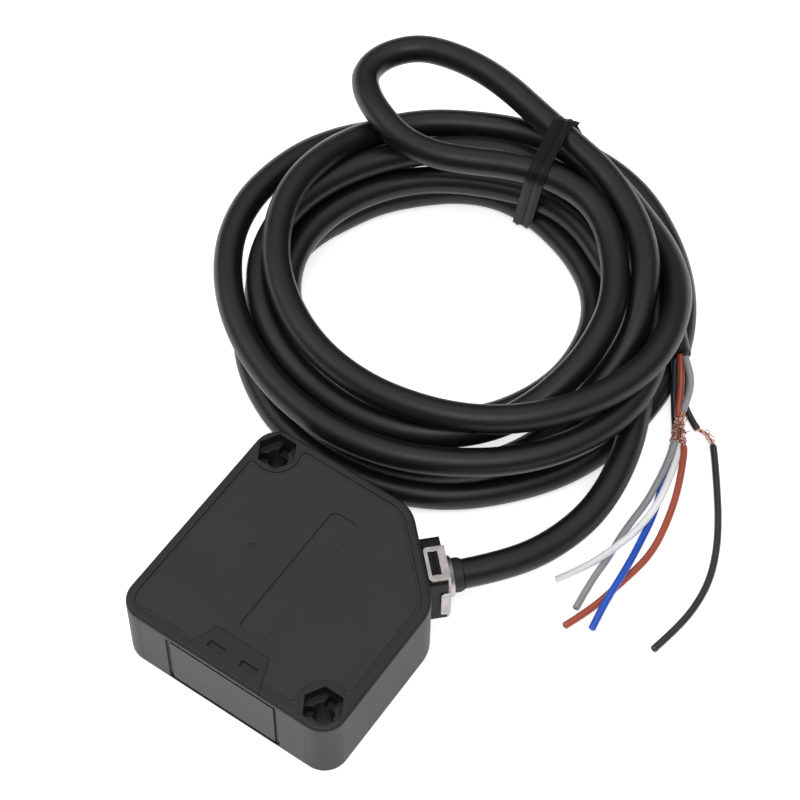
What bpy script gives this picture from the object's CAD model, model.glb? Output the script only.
"""Looks of the photoelectric sensor: its coiled cable, bare wire ends, tie and finishes.

Positions are in metres in the part's own frame.  The tables of the cable's route are in
millimetres, as in the part's source, and are turned to metres where they are used.
"""

import math

import bmesh
import bpy
from mathutils import Matrix, Vector, noise


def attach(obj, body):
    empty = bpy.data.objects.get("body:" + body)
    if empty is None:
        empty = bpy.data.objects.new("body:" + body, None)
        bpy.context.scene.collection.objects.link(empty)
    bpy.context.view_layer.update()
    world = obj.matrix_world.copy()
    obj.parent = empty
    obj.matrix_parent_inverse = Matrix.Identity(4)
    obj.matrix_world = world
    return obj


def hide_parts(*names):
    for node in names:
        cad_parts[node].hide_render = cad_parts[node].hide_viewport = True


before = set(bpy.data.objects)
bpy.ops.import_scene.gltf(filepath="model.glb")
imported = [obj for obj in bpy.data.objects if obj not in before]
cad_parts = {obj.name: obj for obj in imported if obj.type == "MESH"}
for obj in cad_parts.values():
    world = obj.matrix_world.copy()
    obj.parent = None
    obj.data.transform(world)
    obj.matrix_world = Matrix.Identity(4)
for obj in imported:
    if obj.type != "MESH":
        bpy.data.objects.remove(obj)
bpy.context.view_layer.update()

MM = 0.001
CABLE_D = 0.0060
CORE_D = 0.0015
COIL_X, COIL_Y = -80.0, -16.0

# ---- the cable's route ----
# From the gland to the coil: points in mm.
EXIT = [
    (-22.49, 22.49, 8.0), (-29.5, 28.6, 7.7), (-39.0, 33.4, 7.0), (-50.5, 36.2, 7.6), (-64.0, 34.6, 8.9)]

# Turns of the coil, counter-clockwise from above: degrees about the coil's centre,
# distance from it and height, with a table for each turn, because no two are alike.
INNER_TURN = [
    (86, 45.6, 8.9), (98, 41.0, 8.9), (111, 37.0, 8.8), (125, 33.5, 8.5), (140, 31.2, 8.3),
    (155, 30.8, 8.2), (170, 30.3, 8.3), (185, 29.2, 8.5), (200, 28.4, 8.6), (216, 28.8, 8.6),
    (232, 30.2, 8.6), (249, 32.0, 8.6), (266, 34.1, 8.7), (283, 36.4, 8.6), (300, 37.5, 8.4),
    (317, 37.3, 8.3), (334, 35.6, 8.0), (351, 34.0, 7.4), (368, 33.2, 6.4), (385, 32.2, 5.0),
    (402, 30.6, 3.6), (420, 29.0, 3.0)]
FLOOR_TURN = [
    (78, 28.5, 3.0), (96, 28.3, 3.0), (114, 28.6, 3.0), (132, 28.5, 3.0), (150, 27.9, 3.0),
    (167, 27.9, 3.0), (183, 29.0, 3.0), (199, 30.3, 3.0), (215, 30.7, 3.0), (231, 31.0, 3.0),
    (247, 32.6, 3.0), (261, 34.0, 3.0), (275, 37.0, 3.0), (289, 39.6, 3.0), (303, 43.6, 3.0),
    (317, 46.9, 3.0), (331, 48.0, 3.0), (345, 48.8, 3.0), (360, 49.2, 3.0), (375, 49.4, 3.0),
    (390, 48.8, 3.0), (405, 47.5, 3.0), (420, 47.1, 3.0), (435, 46.5, 3.0), (450, 46.0, 3.0)]
OUTER_TURN = [
    (105, 46.7, 3.0), (120, 47.2, 3.0), (135, 47.5, 3.0), (150, 47.9, 3.6), (163, 48.3, 4.7),
    (177, 48.0, 4.8), (191, 47.5, 4.0), (205, 46.6, 3.4), (219, 46.0, 4.0), (232, 46.6, 6.0),
    (245, 47.0, 9.0), (258, 47.2, 12.0), (270, 47.8, 13.6), (282, 49.3, 14.0), (294, 49.9, 14.0),
    (306, 49.5, 14.0), (319, 49.0, 14.0), (333, 48.4, 14.0), (347, 48.2, 14.0), (362, 48.2, 14.0),
    (377, 47.9, 14.0), (391, 47.5, 14.0), (405, 47.8, 14.0), (419, 48.0, 14.0), (433, 47.7, 14.2),
    (446, 46.6, 14.4)]
TOP_TURN = [
    (99, 43.6, 14.2), (112, 40.0, 14.2), (126, 37.6, 14.3), (141, 37.2, 14.6), (156, 38.3, 14.9),
    (171, 39.6, 14.9), (185, 40.3, 14.4), (198, 40.3, 14.0), (212, 40.2, 14.0), (225, 41.0, 14.2),
    (238, 41.2, 14.8), (250, 40.8, 16.4), (262, 40.2, 18.6), (275, 40.3, 19.6), (288, 40.0, 19.7),
    (303, 39.4, 19.8), (318, 38.7, 19.8), (333, 38.5, 19.8), (348, 38.6, 19.8), (364, 38.9, 19.8),
    (379, 39.4, 19.8), (393, 40.6, 19.8), (407, 41.9, 19.8), (421, 43.2, 19.8), (434, 44.6, 19.8),
    (446, 45.8, 19.8)]
TUCKED_TURN = [
    (97, 45.9, 19.6), (108, 45.4, 18.4), (120, 44.5, 16.0), (133, 43.0, 13.6), (147, 41.9, 11.2),
    (161, 42.5, 9.8), (175, 43.9, 9.2), (190, 43.5, 8.7), (205, 40.6, 8.6), (220, 38.2, 8.6),
    (234, 37.6, 8.6), (248, 38.2, 8.6), (262, 39.8, 8.5), (276, 41.4, 8.5), (290, 42.6, 8.6),
    (304, 43.2, 8.6), (318, 43.8, 8.5), (332, 44.8, 8.5), (346, 45.8, 8.6), (360, 46.3, 8.6),
    (374, 46.5, 8.6), (388, 46.2, 8.6), (402, 45.0, 8.7), (415, 42.6, 9.2), (427, 40.2, 10.4),
    (438, 38.6, 12.0)]
TO_LOOP = [
    (89, 38.6, 14.4), (100, 38.6, 17.2), (111, 37.9, 19.4), (122, 37.6, 20.3), (134, 37.1, 20.4),
    (148, 36.7, 20.4), (162, 36.9, 20.4), (173, 37.2, 20.4)]

# The end of the cable is folded back over the coil in a teardrop: points in mm.
TEARDROP = [
    (-118.6, -18.3, 20.6), (-120.2, -25.0, 20.9), (-122.2, -32.2, 21.1), (-123.6, -40.5, 20.9),
    (-123.4, -49.0, 20.5), (-121.4, -56.3, 20.0), (-115.4, -61.2, 19.6), (-108.4, -61.6, 19.8),
    (-103.2, -57.0, 20.6), (-99.6, -50.8, 21.2), (-97.0, -43.6, 21.0), (-97.6, -36.0, 20.8),
    (-100.6, -29.0, 20.7), (-104.2, -22.4, 20.6)]

# It then runs clockwise, dives under the top turn and ends beside the floor turn.
BACK_TURN = [
    (178, 26.9, 20.4), (166, 28.5, 20.3), (154, 30.0, 20.2), (142, 30.6, 20.2), (130, 30.8, 20.2),
    (115, 31.6, 20.2), (101, 32.8, 20.1), (89, 33.8, 19.8), (77, 35.0, 18.6), (66, 36.0, 17.0),
    (56, 37.2, 15.4), (45, 38.8, 14.2), (33, 40.4, 13.9), (20, 41.6, 13.9), (5, 42.2, 14.0),
    (-10, 42.3, 14.0), (-25, 42.5, 14.0), (-40, 42.9, 14.1), (-55, 42.8, 14.1), (-68, 41.8, 14.1),
    (-81, 40.0, 14.0), (-94, 37.8, 14.0), (-108, 35.6, 14.0), (-122, 34.0, 14.0), (-137, 33.1, 14.0),
    (-152, 33.1, 14.0), (-166, 33.7, 13.8), (-179, 34.2, 12.4), (-193, 35.4, 10.2), (-207, 36.5, 8.7),
    (-220, 37.9, 8.4), (-232, 41.2, 8.5), (-242, 43.2, 8.8), (-250, 44.8, 8.9), (-257, 47.4, 8.9)]


def around_coil(angle, radius, height):
    turn = math.radians(angle)
    return (COIL_X + radius * math.cos(turn), COIL_Y + radius * math.sin(turn), height)


def cable_route():
    points = list(EXIT)
    for turn in (INNER_TURN, FLOOR_TURN, OUTER_TURN, TOP_TURN, TUCKED_TURN, TO_LOOP):
        points += [around_coil(*station) for station in turn]
    points += TEARDROP
    points += [around_coil(*station) for station in BACK_TURN]
    return [Vector(point) * MM for point in points]


# ---- helpers ----
def link(obj):
    bpy.context.scene.collection.objects.link(obj)
    return obj


def spline_object(name, points, diameter):
    """Round cord along one smooth open spline."""
    curve = bpy.data.curves.new(name, "CURVE")
    curve.dimensions = "3D"
    line = curve.splines.new("NURBS")
    line.points.add(len(points) - 1)
    for slot, point in zip(line.points, points):
        slot.co = (*point, 1.0)
    line.order_u = 3
    line.use_endpoint_u = True
    line.resolution_u = 6
    curve.bevel_depth = diameter / 2
    curve.bevel_resolution = 5
    curve.use_fill_caps = True
    return link(bpy.data.objects.new(name, curve))


# ---- finishes ----
def linear(red, green, blue):
    """Colour picked on a 0 to 255 scale, as the shader wants it."""
    picked = [channel / 255 for channel in (red, green, blue)]
    return tuple(c / 12.92 if c <= 0.04045 else ((c + 0.055) / 1.055) ** 2.4 for c in picked)


class Shader:
    """A material's node tree, with short calls for the nodes used here."""

    def __init__(self, name):
        self.material = bpy.data.materials.new(name)
        self.material.use_nodes = True
        self.tree = self.material.node_tree
        self.surface = self.tree.nodes["Principled BSDF"]
        self.place = self.add("ShaderNodeTexCoord").outputs["Object"]

    def add(self, kind, inputs=None, **settings):
        node = self.tree.nodes.new(kind)
        for key, value in settings.items():
            setattr(node, key, value)
        for key, value in (inputs or {}).items():
            self.put(node.inputs[key], value)
        return node

    def put(self, socket, value):
        if isinstance(value, bpy.types.NodeSocket):
            self.tree.links.new(value, socket)
        else:
            socket.default_value = value

    def stretched(self, scale, turn=0.0):
        """The place on the surface, stretched along its axes, for brushed and drawn textures."""
        node = self.add("ShaderNodeMapping", {"Vector": self.place, "Scale": scale, "Rotation": (0, 0, turn)})
        return node.outputs["Vector"]

    def noise(self, size, detail=2.0, place=None, distortion=0.0):
        """Noise whose blotches are about this many metres across."""
        inputs = {"Vector": place or self.place, "Scale": 1 / size, "Detail": detail,
                  "Distortion": distortion}
        return self.add("ShaderNodeTexNoise", inputs).outputs["Fac"]

    def between(self, value, low, high, start=0.3, end=0.7):
        node = self.add("ShaderNodeMapRange", {"Value": value, "From Min": start, "From Max": end,
                                               "To Min": low, "To Max": high})
        return node.outputs["Result"]

    def maths(self, operation, first, second):
        node = self.add("ShaderNodeMath", operation=operation)
        self.put(node.inputs[0], first)
        self.put(node.inputs[1], second)
        return node.outputs["Value"]

    def mix(self, factor, first, second):
        node = self.add("ShaderNodeMix", data_type="RGBA")
        self.put(node.inputs["Factor"], factor)
        self.put(node.inputs["A"], first if isinstance(first, bpy.types.NodeSocket) else (*first, 1))
        self.put(node.inputs["B"], second if isinstance(second, bpy.types.NodeSocket) else (*second, 1))
        return node.outputs["Result"]

    def soft_edge(self, radius):
        """Normal rounded over edges, and a mask that is 1 on them."""
        bevel = self.add("ShaderNodeBevel", {"Radius": radius}, samples=6).outputs["Normal"]
        flat = self.add("ShaderNodeNewGeometry").outputs["Normal"]
        dot = self.add("ShaderNodeVectorMath", operation="DOT_PRODUCT")
        self.put(dot.inputs[0], bevel)
        self.put(dot.inputs[1], flat)
        return bevel, self.between(dot.outputs["Value"], 1.0, 0.0, 0.72, 0.985)

    def bump(self, height, depth, strength=1.0, normal=None):
        inputs = {"Height": height, "Distance": depth, "Strength": strength}
        if normal is not None:
            inputs["Normal"] = normal
        return self.add("ShaderNodeBump", inputs).outputs["Normal"]

    def set(self, **inputs):
        for key, value in inputs.items():
            self.put(self.surface.inputs[key.replace("_", " ")], value)


def moulded(name, colour, roughness=0.5, grain=0.00022, depth=0.000006, edge=0.00018, wear=0.25,
            specular=0.5, mottle=0.06):
    """Moulded plastic: eroded grain, slightly uneven gloss, and edges rubbed a little paler."""
    shader = Shader(name)
    normal, on_edge = shader.soft_edge(edge)
    dark = tuple(c * (1 - mottle) for c in colour)
    light = tuple(min(1.0, c * (1 + mottle)) for c in colour)
    tone = shader.mix(shader.between(shader.noise(0.012, 3.0), 0.0, 1.0), dark, light)
    rubbed = shader.maths("MULTIPLY", on_edge, shader.between(shader.noise(0.0012, 4.0), wear * 0.3, wear))
    pale = tuple(min(1.0, c * 1.6 + 0.02) for c in colour)
    specks = shader.between(shader.noise(0.0004, 1.0), 0.0, 0.5, 0.77, 0.83)
    worn = shader.mix(rubbed, tone, pale)
    shader.set(Base_Color=shader.mix(specks, worn, pale))
    pits = shader.noise(grain, 2.0)
    gloss = shader.between(shader.noise(0.016, 2.0), roughness - 0.015, roughness + 0.02)
    shader.set(Roughness=shader.maths("SUBTRACT", gloss, shader.maths("MULTIPLY", on_edge, 0.08)))
    shader.set(Normal=shader.bump(pits, depth, 1.0, normal))
    shader.surface.inputs["Specular IOR Level"].default_value = specular
    return shader


def metal(name, colour, roughness, brushed=(1.0, 1.0, 1.0), turn=0.0, depth=0.000004, edge=0.00008,
          patch=0.004, dullest=0.78):
    """Sheet metal or wire: drawn or rolled streaks, cloudy gloss and brighter edges."""
    shader = Shader(name)
    normal, on_edge = shader.soft_edge(edge)
    streaks = shader.noise(0.00035, 4.0, shader.stretched(brushed, turn))
    cloud = shader.noise(patch, 3.0)
    dull = tuple(c * dullest for c in colour)
    tone = shader.mix(shader.between(cloud, 0.0, 1.0), dull, colour)
    shader.set(Base_Color=shader.mix(shader.maths("MULTIPLY", on_edge, 0.4), tone,
                                     tuple(min(1.0, c * 1.15) for c in colour)))
    shader.set(Roughness=shader.between(streaks, roughness - 0.07, roughness + 0.1))
    shader.set(Normal=shader.bump(streaks, depth, 0.8, normal))
    shader.surface.inputs["Metallic"].default_value = 1.0
    return shader


def vinyl(name, colour, roughness, depth=0.000003, specular=0.5):
    """Extruded insulation: satin skin with faint waves, dust specks and scuffs."""
    shader = Shader(name)
    waves = shader.noise(0.004, 3.0)
    fine = shader.noise(0.00022, 2.0)
    specks = shader.between(shader.noise(0.0006, 1.0), 0.0, 1.0, 0.78, 0.83)
    tone = shader.mix(shader.between(shader.noise(0.014, 3.0), 0.0, 1.0),
                      tuple(c * 0.9 for c in colour), tuple(min(1.0, c * 1.08) for c in colour))
    dusty = tuple(min(1.0, c * 0.8 + 0.06) for c in colour)
    shader.set(Base_Color=shader.mix(shader.maths("MULTIPLY", specks, 0.3), tone, dusty))
    shader.set(Roughness=shader.between(waves, roughness - 0.03, roughness + 0.04))
    both = shader.maths("ADD", shader.maths("MULTIPLY", waves, 1.6), fine)
    shader.set(Normal=shader.bump(both, depth))
    shader.surface.inputs["Specular IOR Level"].default_value = specular
    return shader


def blue_core(name):
    """Blue insulation, grimy near the sheath, where it lies in among the others."""
    shader = vinyl(name, linear(24, 84, 196), 0.34)
    clean = shader.surface.inputs["Base Color"].links[0].from_socket
    along = shader.add("ShaderNodeSeparateXYZ", {"Vector": shader.place}).outputs["X"]
    grime = shader.between(along, 1.0, 0.0, -0.0785, -0.0745)
    shader.set(Base_Color=shader.mix(shader.maths("MULTIPLY", grime, 0.97), clean, linear(38, 39, 46)))
    return shader


def window_pane(name):
    """Dark infrared-passing window, smooth and faintly red."""
    return moulded(name, linear(24, 17, 19), 0.26, grain=0.002, depth=0.000001, edge=0.00012, wear=0.12,
                   specular=0.16, mottle=0.03)


def clear_resin(name, colour, roughness=0.04):
    shader = moulded(name, colour, roughness + 0.05, grain=0.003, depth=0.000001, wear=0.05)
    shader.surface.inputs["Transmission Weight"].default_value = 0.9
    shader.surface.inputs["IOR"].default_value = 1.55
    return shader


def circuit_board(name):
    """Solder mask with copper tracks showing through, and small tinned pads."""
    shader = moulded(name, linear(18, 74, 48), 0.32, grain=0.0006, depth=0.000004, mottle=0.2)
    tracks = shader.add("ShaderNodeTexVoronoi", {"Vector": shader.place, "Scale": 420.0},
                        feature="DISTANCE_TO_EDGE", distance="EUCLIDEAN").outputs["Distance"]
    pads = shader.add("ShaderNodeTexVoronoi", {"Vector": shader.place, "Scale": 520.0}).outputs["Distance"]
    mask = shader.mix(shader.between(tracks, 1.0, 0.0, 0.06, 0.09), linear(16, 66, 42), linear(34, 104, 66))
    shader.set(Base_Color=shader.mix(shader.between(pads, 1.0, 0.0, 0.14, 0.17), mask, linear(205, 202, 190)))
    return shader


FINISHES = {
    "housing_plastic": lambda name: moulded(name, linear(28, 28, 30), 0.50, specular=0.40),
    "cover_plastic": lambda name: moulded(name, linear(28, 28, 30), 0.49, specular=0.46, mottle=0.14),
    "front_plastic": lambda name: moulded(name, linear(28, 28, 30), 0.46, specular=0.38),
    "window_plastic": window_pane,
    "panel_plastic": lambda name: moulded(name, linear(27, 27, 29), 0.45),
    "inner_black_plastic": lambda name: moulded(name, linear(24, 24, 25), 0.55),
    "clear_lens": lambda name: clear_resin(name, linear(236, 238, 240)),
    "led_resin": lambda name: clear_resin(name, linear(228, 216, 196), 0.12),
    "tinned_metal": lambda name: metal(name, linear(198, 198, 194), 0.30, (1, 5, 1)),
    "circuit_board": circuit_board,
    "capacitor_sleeve": lambda name: vinyl(name, linear(24, 28, 60), 0.34),
    "ceramic_tan": lambda name: moulded(name, linear(188, 150, 108), 0.42, grain=0.0002),
    "relay_plastic": lambda name: moulded(name, linear(46, 62, 92), 0.38),
    "copper_wire": lambda name: metal(name, linear(255, 204, 186), 0.16, patch=0.0009, dullest=0.2),
    "relay_iron": lambda name: metal(name, linear(150, 152, 156), 0.36, (1, 6, 1)),
    "contact_alloy": lambda name: metal(name, linear(214, 210, 200), 0.24, (5, 1, 1)),
    "knob_plastic": lambda name: moulded(name, linear(222, 222, 216), 0.40, edge=0.00012),
    "seal_rubber": lambda name: vinyl(name, linear(26, 26, 27), 0.62),
    "guide_green": lambda name: clear_resin(name, linear(60, 190, 90), 0.14),
    "guide_orange": lambda name: clear_resin(name, linear(240, 130, 30), 0.14),
    "gland_plastic": lambda name: moulded(name, linear(16, 16, 18), 0.50, edge=0.00012, specular=0.2),
    "bushing_rubber": lambda name: vinyl(name, linear(28, 28, 29), 0.58),
    "clip_steel": lambda name: metal(name, linear(194, 187, 185), 0.30, (1, 1, 9), math.radians(45),
                                      depth=0.000012, patch=0.0016, dullest=0.66),
    "cable_sheath": lambda name: vinyl(name, linear(19, 19, 21), 0.37, specular=0.36),
    "tie_vinyl": lambda name: vinyl(name, linear(21, 21, 23), 0.50, specular=0.2),
    "core_brown": lambda name: vinyl(name, linear(170, 78, 54), 0.36),
    "core_blue": blue_core,
    "core_grey": lambda name: vinyl(name, linear(154, 154, 157), 0.38),
    "core_white": lambda name: vinyl(name, linear(250, 251, 254), 0.36),
    "core_black": lambda name: vinyl(name, linear(40, 40, 42), 0.38),
}


def finish_frame(materials):
    """Gives each CAD node the finish of its slot."""
    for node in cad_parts.values():
        for index, old in enumerate(node.data.materials):
            node.data.materials[index] = materials[old.name.split(".")[0]]


# ---- camera ----
VIEW_AZIMUTH = 34.13
VIEW_ELEVATION = 56.21
VIEW_ROLL = 0.79


def make_camera():
    lens = bpy.data.cameras.new("camera")
    lens.sensor_width = 36.0
    lens.lens = 109.8
    lens.clip_start = 0.01
    lens.dof.use_dof = False
    camera = link(bpy.data.objects.new("camera", lens))
    turn = Matrix.Rotation(math.radians(VIEW_AZIMUTH + 90), 4, "Z")
    tilt = Matrix.Rotation(math.radians(90 - VIEW_ELEVATION), 4, "X")
    roll = Matrix.Rotation(math.radians(VIEW_ROLL), 4, "Z")
    camera.matrix_world = Matrix.Translation((0.1805, 0.14497, 0.42254)) @ turn @ tilt @ roll
    bpy.context.scene.camera = camera


# ---- bare wire ends ----
# Routes of the five cores from the end of the sheath, in mm.  After each comes the stretch,
# in mm along it, where the insulation has been pulled back, how far its strands bulge, and
# how many of them there are.
CORES = {
    "core_brown": ([(-91.1, 30.6, 9.2), (-88.0, 33.0, 7.6), (-84.7, 35.0, 5.2), (-81.3, 36.6, 3.3),
                    (-79.0, 38.9, 2.2), (-76.7, 41.3, 1.6), (-73.5, 42.9, 1.0), (-68.2, 45.1, 0.8),
                    (-62.5, 46.9, 0.8), (-55.2, 48.4, 0.8), (-50.3, 48.6, 0.8), (-45.9, 48.0, 0.8),
                    (-40.8, 47.0, 0.8), (-34.0, 45.7, 0.8), (-28.5, 43.6, 0.8)], 13.2, 19.6, 0.95, 16),
    "core_blue": ([(-90.2, 30.1, 8.4), (-88.0, 31.5, 6.3), (-85.4, 33.3, 3.6), (-82.3, 35.5, 1.6),
                   (-79.2, 37.7, 0.9), (-75.3, 39.3, 0.8), (-70.8, 40.9, 0.8), (-65.1, 42.7, 0.8),
                   (-59.4, 44.5, 0.8), (-53.3, 45.5, 1.0), (-47.4, 46.5, 2.1), (-41.8, 47.1, 2.6),
                   (-36.3, 47.4, 2.1), (-30.9, 48.1, 1.1)], 15.4, 18.8, 0.6, 12),
    "core_grey": ([(-91.1, 31.8, 9.2), (-89.6, 33.8, 8.6), (-87.5, 35.8, 6.9), (-84.7, 36.7, 5.2),
                   (-82.2, 37.1, 3.8), (-79.1, 38.0, 2.8), (-75.7, 39.4, 2.3), (-70.3, 40.7, 2.0),
                   (-65.3, 41.4, 1.6), (-60.8, 41.7, 0.8), (-55.6, 41.6, 0.8), (-50.8, 41.7, 0.8),
                   (-45.3, 42.3, 0.8), (-40.2, 42.2, 0.8), (-33.1, 43.0, 0.8)], 11.8, 18.7, 1.0, 16),
    "core_white": ([(-91.3, 30.7, 7.6), (-88.8, 32.5, 4.8), (-85.8, 34.6, 2.8), (-82.9, 36.7, 1.4),
                    (-79.9, 38.6, 0.9), (-76.3, 40.3, 0.9), (-72.5, 41.7, 1.3), (-66.7, 43.1, 2.0),
                    (-62.1, 44.0, 2.4), (-58.0, 44.2, 2.3), (-53.2, 43.8, 2.3), (-48.8, 42.8, 2.4),
                    (-44.8, 41.5, 2.3), (-40.8, 39.5, 1.2), (-36.2, 36.8, 0.9)], 13.4, 18.8, 0.8, 12),
    "core_black": ([(-91.8, 31.4, 7.6), (-89.6, 33.0, 5.2), (-87.4, 34.4, 2.9), (-85.8, 35.7, 1.9),
                    (-84.7, 37.1, 1.4), (-83.5, 39.1, 1.0), (-82.3, 41.1, 0.9), (-82.5, 42.5, 0.9),
                    (-82.3, 43.9, 0.9), (-81.2, 45.5, 0.8), (-78.8, 47.3, 0.8), (-72.4, 51.7, 0.8),
                    (-66.2, 55.7, 0.8), (-60.0, 59.0, 0.8), (-53.4, 61.4, 0.8), (-46.9, 62.2, 0.8),
                    (-40.5, 61.8, 0.8), (-34.1, 60.5, 0.8)], 15.8, 21.0, 0.55, 7),
}
CONDUCTOR_D = 0.0005
STRAND_D = 0.00019
STRAND_SEED = 1                 # fixes the strands' wander; unset, it follows the clock
FEW_STRANDS = 8                 # a core with this many strands or fewer opens nearer to its slug


def read_line(obj):
    """Points along a cord's own smooth line."""
    bare = obj.copy()
    bare.data = obj.data.copy()
    bare.data.bevel_depth = 0
    link(bare)
    bpy.context.view_layer.update()
    mesh = bpy.data.meshes.new_from_object(bare.evaluated_get(bpy.context.evaluated_depsgraph_get()))
    points = [vertex.co.copy() for vertex in mesh.vertices]
    bpy.data.objects.remove(bare)
    return points


def stretch_of(points, start, end):
    """The part of a line between two distances along it."""
    kept = []
    run = 0.0
    for here, there in zip(points, points[1:]):
        step = (there - here).length
        if step > 0 and run < end and run + step > start:
            if not kept:
                kept.append(here.lerp(there, max(0.0, (start - run) / step)))
            kept.append(here.lerp(there, min(1.0, (end - run) / step)))
        run += step
    return kept


def frames_along(points):
    """A direction and two steady cross directions at each point of a line."""
    frames = []
    side = None
    for k, point in enumerate(points):
        ahead = points[min(k + 1, len(points) - 1)] - points[max(k - 1, 0)]
        ahead.normalize()
        if side is None:
            side = ahead.orthogonal().normalized()
        side = (side - ahead * side.dot(ahead)).normalized()
        frames.append((point, ahead, side, ahead.cross(side)))
    return frames


def sweep(target, frames, radii, sides=14):
    """Adds a tube with a radius at each frame to a bmesh."""
    rings = []
    for (point, _, side, other), radius in zip(frames, radii):
        ring = []
        for k in range(sides):
            angle = 2 * math.pi * k / sides
            ring.append(target.verts.new(point + (side * math.cos(angle) + other * math.sin(angle)) * radius))
        rings.append(ring)
    for ring, following in zip(rings, rings[1:]):
        for k in range(sides):
            target.faces.new((ring[k], ring[(k + 1) % sides], following[(k + 1) % sides], following[k]))
    target.faces.new(list(reversed(rings[0])))
    target.faces.new(rings[-1])


def mesh_object(name, target, material):
    bmesh.ops.recalc_face_normals(target, faces=target.faces)
    mesh = bpy.data.meshes.new(name)
    target.to_mesh(mesh)
    target.free()
    mesh.materials.append(material)
    for face in mesh.polygons:
        face.use_smooth = True
    return link(bpy.data.objects.new(name, mesh))


def sleeve(name, points, material):
    """A length of insulation over a core: a tube with a hollow, slightly rolled cut at each end."""
    radius = CORE_D / 2
    bore = CONDUCTOR_D / 2 + 0.00012
    frames = frames_along(points)
    head, tail = ([(point + ahead * shift, ahead, side, other) for shift in shifts]
                  for (point, ahead, side, other), shifts in
                  ((frames[0], (0.0006, 0.0, 0.0, 0.00008)), (frames[-1], (-0.00008, 0.0, 0.0, -0.0006))))
    ends = [bore, bore * 1.1, radius * 0.88, radius]
    target = bmesh.new()
    sweep(target, head + frames[1:-1] + tail, ends + [radius] * (len(frames) - 2) + ends[::-1], 18)
    for vertex in target.verts:
        vertex.co += vertex.normal * 0.00002 * noise.noise(vertex.co * 2600)
    return mesh_object(name, target, material)


def bare_strands(name, points, seed, spread, count, material):
    """Fine strands that bulge out of their lay between two cut ends of insulation."""
    target = bmesh.new()
    frames = frames_along(points)
    for strand in range(count):
        phase = 2 * math.pi * strand / count
        stray = 1.0 + (strand % 4 == 0) * 0.55
        line = []
        for k, (point, _, side, other) in enumerate(frames):
            share = k / (len(frames) - 1)
            loose = spread * (math.sin(math.pi * share) ** 0.7 if count > FEW_STRANDS
                              else math.sin(math.pi * share ** 1.6))
            wander = noise.noise_vector(Vector((seed * 7.3 + strand * 3.1, share * 7.5, strand * 1.7)))
            angle = phase + 2.6 * share + 3.2 * loose * wander.x
            reach = 0.00024 + loose * stray * (0.00042 + 0.0011 * wander.y)
            spot = point + (side * math.cos(angle) + other * math.sin(angle)) * reach
            spot.z = max(spot.z, STRAND_D)
            line.append(spot)
        sweep(target, frames_along(line), [STRAND_D / 2] * len(line), 6)
    return mesh_object(name, target, material)


def resampled(points, count):
    """The same line with its points evenly spaced."""
    lengths = [0.0]
    for a, b in zip(points, points[1:]):
        lengths.append(lengths[-1] + (b - a).length)
    even = []
    k = 0
    for n in range(count):
        mark = lengths[-1] * n / (count - 1)
        while k < len(lengths) - 2 and lengths[k + 1] < mark:
            k += 1
        span = max(lengths[k + 1] - lengths[k], 1e-12)
        even.append(points[k].lerp(points[k + 1], (mark - lengths[k]) / span))
    return even


def make_core(name, seed, materials):
    """One core: its conductor all the way, insulation up to the bare stretch and after it."""
    route, bare_from, bare_to, spread, count = CORES[name]
    colour = name.split("_")[1]
    conductor = spline_object("conductor_" + colour, [Vector(p) * MM for p in route], CONDUCTOR_D)
    conductor.data.materials.append(materials["copper_wire"])
    line = read_line(conductor)
    total = sum((b - a).length for a, b in zip(line, line[1:]))
    stub = resampled(stretch_of(line, 0.0, bare_from * MM), 24)
    slug = resampled(stretch_of(line, bare_to * MM, total), 60)
    slug.append(slug[-1] + (slug[-1] - slug[-2]).normalized() * 0.0007)
    pieces = [sleeve("stub_" + colour, stub, materials[name]),
              sleeve("slug_" + colour, slug, materials[name])]
    bare = resampled(stretch_of(line, (bare_from - 0.5) * MM, (bare_to + 0.5) * MM), 34)
    strands = bare_strands("strands_" + colour, bare, seed, spread, count, materials["copper_wire"])
    for piece in [conductor, strands] + pieces:
        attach(piece, "housing")
    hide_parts(name)


# ---- the tie ----
TIE_FROM = (-120.9, -17.4)      # the band's plane, seen from above: its outer and inner ends, in mm
TIE_TO = (-103.7, -14.0)
TIE_TOP = 0.0225
TIE_LEAN = 0.0034               # how far the band leans back from that plane by the time it reaches the floor
BAND_W = 0.0021
BAND_T = 0.0006
BAND_OFFSET = 0.00107           # each turn's middle from the tie's middle
BAND_SWELL = 0.00008            # how much prouder the second turn lies
TIE_CLEARANCE = 0.00005         # between the band and the turns inside it
TIE_LOWEST = 0.0008             # the band's lowest point, above the floor
TIE_STEPS = 160
BUNDLE_REACH = (-0.012, 0.030)  # how far from the tie's outer end a turn still belongs to the bundle
TAIL = ((0.0, -0.0002), (0.0008, -0.0001), (0.0014, 0.0), (0.0018, 0.0), (0.0022, 0.0))


def lean_at(reach, height):
    """How far the band lies back from its plane: nothing on top, more and more down its inner side."""
    inward = min(1.0, max(0.0, (reach - 0.006) / 0.006))
    return TIE_LEAN * inward * max(0.0, 1 - height / TIE_TOP)


def bundle_outline(line, start, across, clearance):
    """Closed outline round the turns that cross the tie, as (along, height) pairs."""
    ring = []
    sideways = Vector((-across.y, across.x, 0.0))
    offsets = [(p - start).dot(sideways) + lean_at((p - start).dot(across), p.z) for p in line]
    for here, there, before, after in zip(line, line[1:], offsets, offsets[1:]):
        if before * after <= 0 and before != after:
            spot = here.lerp(there, before / (before - after))
            reach = (spot - start).dot(across)
            if BUNDLE_REACH[0] < reach < BUNDLE_REACH[1]:
                for k in range(36):
                    angle = 2 * math.pi * k / 36
                    radius = CABLE_D / 2 + clearance
                    ring.append((reach + radius * math.cos(angle),
                                 max(spot.z + radius * math.sin(angle), TIE_LOWEST)))
    return convex_outline(ring)


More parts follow.
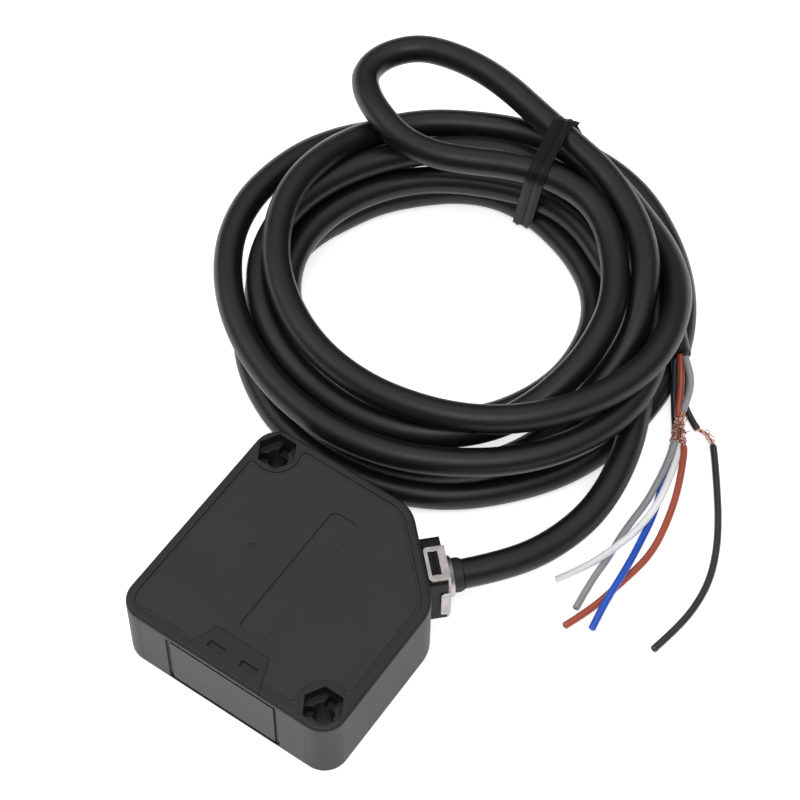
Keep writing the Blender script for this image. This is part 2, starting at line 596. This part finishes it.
def convex_outline(points):
    """Outer outline of a set of points, anticlockwise."""
    ordered = sorted(set(points))

    def half(sequence):
        kept = []
        for point in sequence:
            while len(kept) > 1 and turn_of(kept[-2], kept[-1], point) <= 0:
                kept.pop()
            kept.append(point)
        return kept[:-1]

    return half(ordered) + half(ordered[::-1])


def turn_of(a, b, c):
    return (b[0] - a[0]) * (c[1] - a[1]) - (b[1] - a[1]) * (c[0] - a[0])


def flat_band(target, places, closed):
    """Adds a coated tie strip along a line: two thin wings with a rounded wire between them."""
    section = [(-0.50, 0.0), (-0.49, 0.50), (-0.44, 0.58), (-0.24, 0.52), (-0.17, 0.88), (0.0, 1.0),
               (0.17, 0.88), (0.24, 0.52), (0.44, 0.58), (0.49, 0.50), (0.50, 0.0)]
    rings = []
    for point, out, side in places:
        rings.append([target.verts.new(point + side * across * BAND_W + out * up * BAND_T)
                      for across, up in section])
    count = len(section)
    for ring, following in zip(rings, rings[1:] + (rings[:1] if closed else [])):
        for k in range(count):
            target.faces.new((ring[k], ring[(k + 1) % count], following[(k + 1) % count], following[k]))
    if not closed:
        target.faces.new(list(reversed(rings[0])))
        target.faces.new(rings[-1])


def make_tie(line, material):
    """Tie: two turns of flat coated strip side by side round the bundle, and a short tail."""
    start = Vector((*TIE_FROM, 0.0)) * MM
    across = (Vector((*TIE_TO, 0.0)) * MM - start).normalized()
    side = Vector((-across.y, across.x, 0.0))
    outline = bundle_outline(line, start, across, TIE_CLEARANCE)
    loop = resampled([Vector((r, 0.0, z)) for r, z in outline + outline[:1]], TIE_STEPS + 1)[:-1]
    middle = sum(loop, Vector()) / len(loop)
    target = bmesh.new()
    for offset, swell in ((-BAND_OFFSET, 0.0), (BAND_OFFSET, BAND_SWELL)):
        places = []
        for k, point in enumerate(loop):
            ahead = (loop[(k + 1) % len(loop)] - loop[k - 1]).normalized()
            out = Vector((ahead.z, 0.0, -ahead.x))
            if out.dot(point - middle) < 0:
                out = -out
            spot = point + out * swell
            shift = side * (offset - lean_at(point.x, point.z))
            places.append((start + across * spot.x + shift + Vector((0, 0, spot.z)),
                           across * out.x + Vector((0, 0, out.z)), side))
        flat_band(target, places, True)
    place, out, side = max(places, key=lambda item: item[1].dot(Vector((0, 0, 0.97)) - across * 0.25))
    rest = place + out * BAND_T * 0.3
    tail = [(rest + side * reach + out * lift, out, out.cross(side)) for reach, lift in TAIL]
    flat_band(target, tail, False)
    tie = mesh_object("tie", target, material)
    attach(tie, "housing")
    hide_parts("cable_tie")


# ---- stage ----
def make_floor():
    """Pale sweep: a wide flat sheet with a faint unevenness in its tone."""
    target = bmesh.new()
    bmesh.ops.create_grid(target, x_segments=8, y_segments=8, size=6.0)
    shader = Shader("floor_paper")
    shader.set(Base_Color=shader.mix(shader.between(shader.noise(0.4), 0.0, 1.0), (0.90, 0.90, 0.90),
                                     (0.93, 0.93, 0.93)))
    shader.surface.inputs["Roughness"].default_value = 0.85
    shader.surface.inputs["Specular IOR Level"].default_value = 0.1
    shader.surface.inputs["Emission Color"].default_value = (1.0, 1.0, 1.0, 1.0)
    shader.surface.inputs["Emission Strength"].default_value = 0.62
    floor = mesh_object("floor", target, shader.material)
    floor.location.z = -0.0001


def make_lamp(name, spot, aim, size, power):
    light = bpy.data.lights.new(name, "AREA")
    light.shape = "RECTANGLE"
    light.size, light.size_y = size
    light.energy = power
    lamp = link(bpy.data.objects.new(name, light))
    lamp.location = spot
    lamp.rotation_euler = (Vector(aim) - Vector(spot)).to_track_quat("-Z", "Y").to_euler()


def make_light():
    """A dome that is bright above and dim near the horizon, and two soft boxes."""
    world = bpy.data.worlds.new("studio")
    world.use_nodes = True
    nodes = world.node_tree.nodes
    links = world.node_tree.links
    sky = nodes["Background"]
    sky.inputs["Color"].default_value = (1.0, 1.0, 1.0, 1.0)
    height = nodes.new("ShaderNodeSeparateXYZ")
    links.new(nodes.new("ShaderNodeTexCoord").outputs["Generated"], height.inputs["Vector"])
    dome = nodes.new("ShaderNodeMapRange")
    dome.interpolation_type = "SMOOTHSTEP"
    for key, value in (("From Min", 0.42), ("From Max", 0.90), ("To Min", 0.18), ("To Max", 1.10)):
        dome.inputs[key].default_value = value
    links.new(height.outputs["Z"], dome.inputs["Value"])
    links.new(dome.outputs["Result"], sky.inputs["Strength"])
    bpy.context.scene.world = world
    make_lamp("softbox_left", (0.18, -0.62, 0.55), (-0.05, 0.0, 0.0), (0.6, 0.6), 1.2)
    make_lamp("softbox_top", (0.25, 0.20, 0.82), (-0.05, 0.0, 0.0), (0.5, 0.5), 1.7)
    bpy.context.scene.view_settings.view_transform = "Standard"


make_camera()
FINISH = {name: FINISHES[name](name).material for name in FINISHES}
finish_frame(FINISH)
cable = spline_object("cable", cable_route(), CABLE_D)
cable.data.materials.append(FINISH["cable_sheath"])
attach(cable, "housing")
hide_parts("cable_exit", "cable_coil", "cable_loop")
noise.seed_set(STRAND_SEED)
for seed, name in enumerate(CORES):
    make_core(name, seed, FINISH)
make_tie(read_line(cable), FINISH["tie_vinyl"])
make_floor()
make_light()
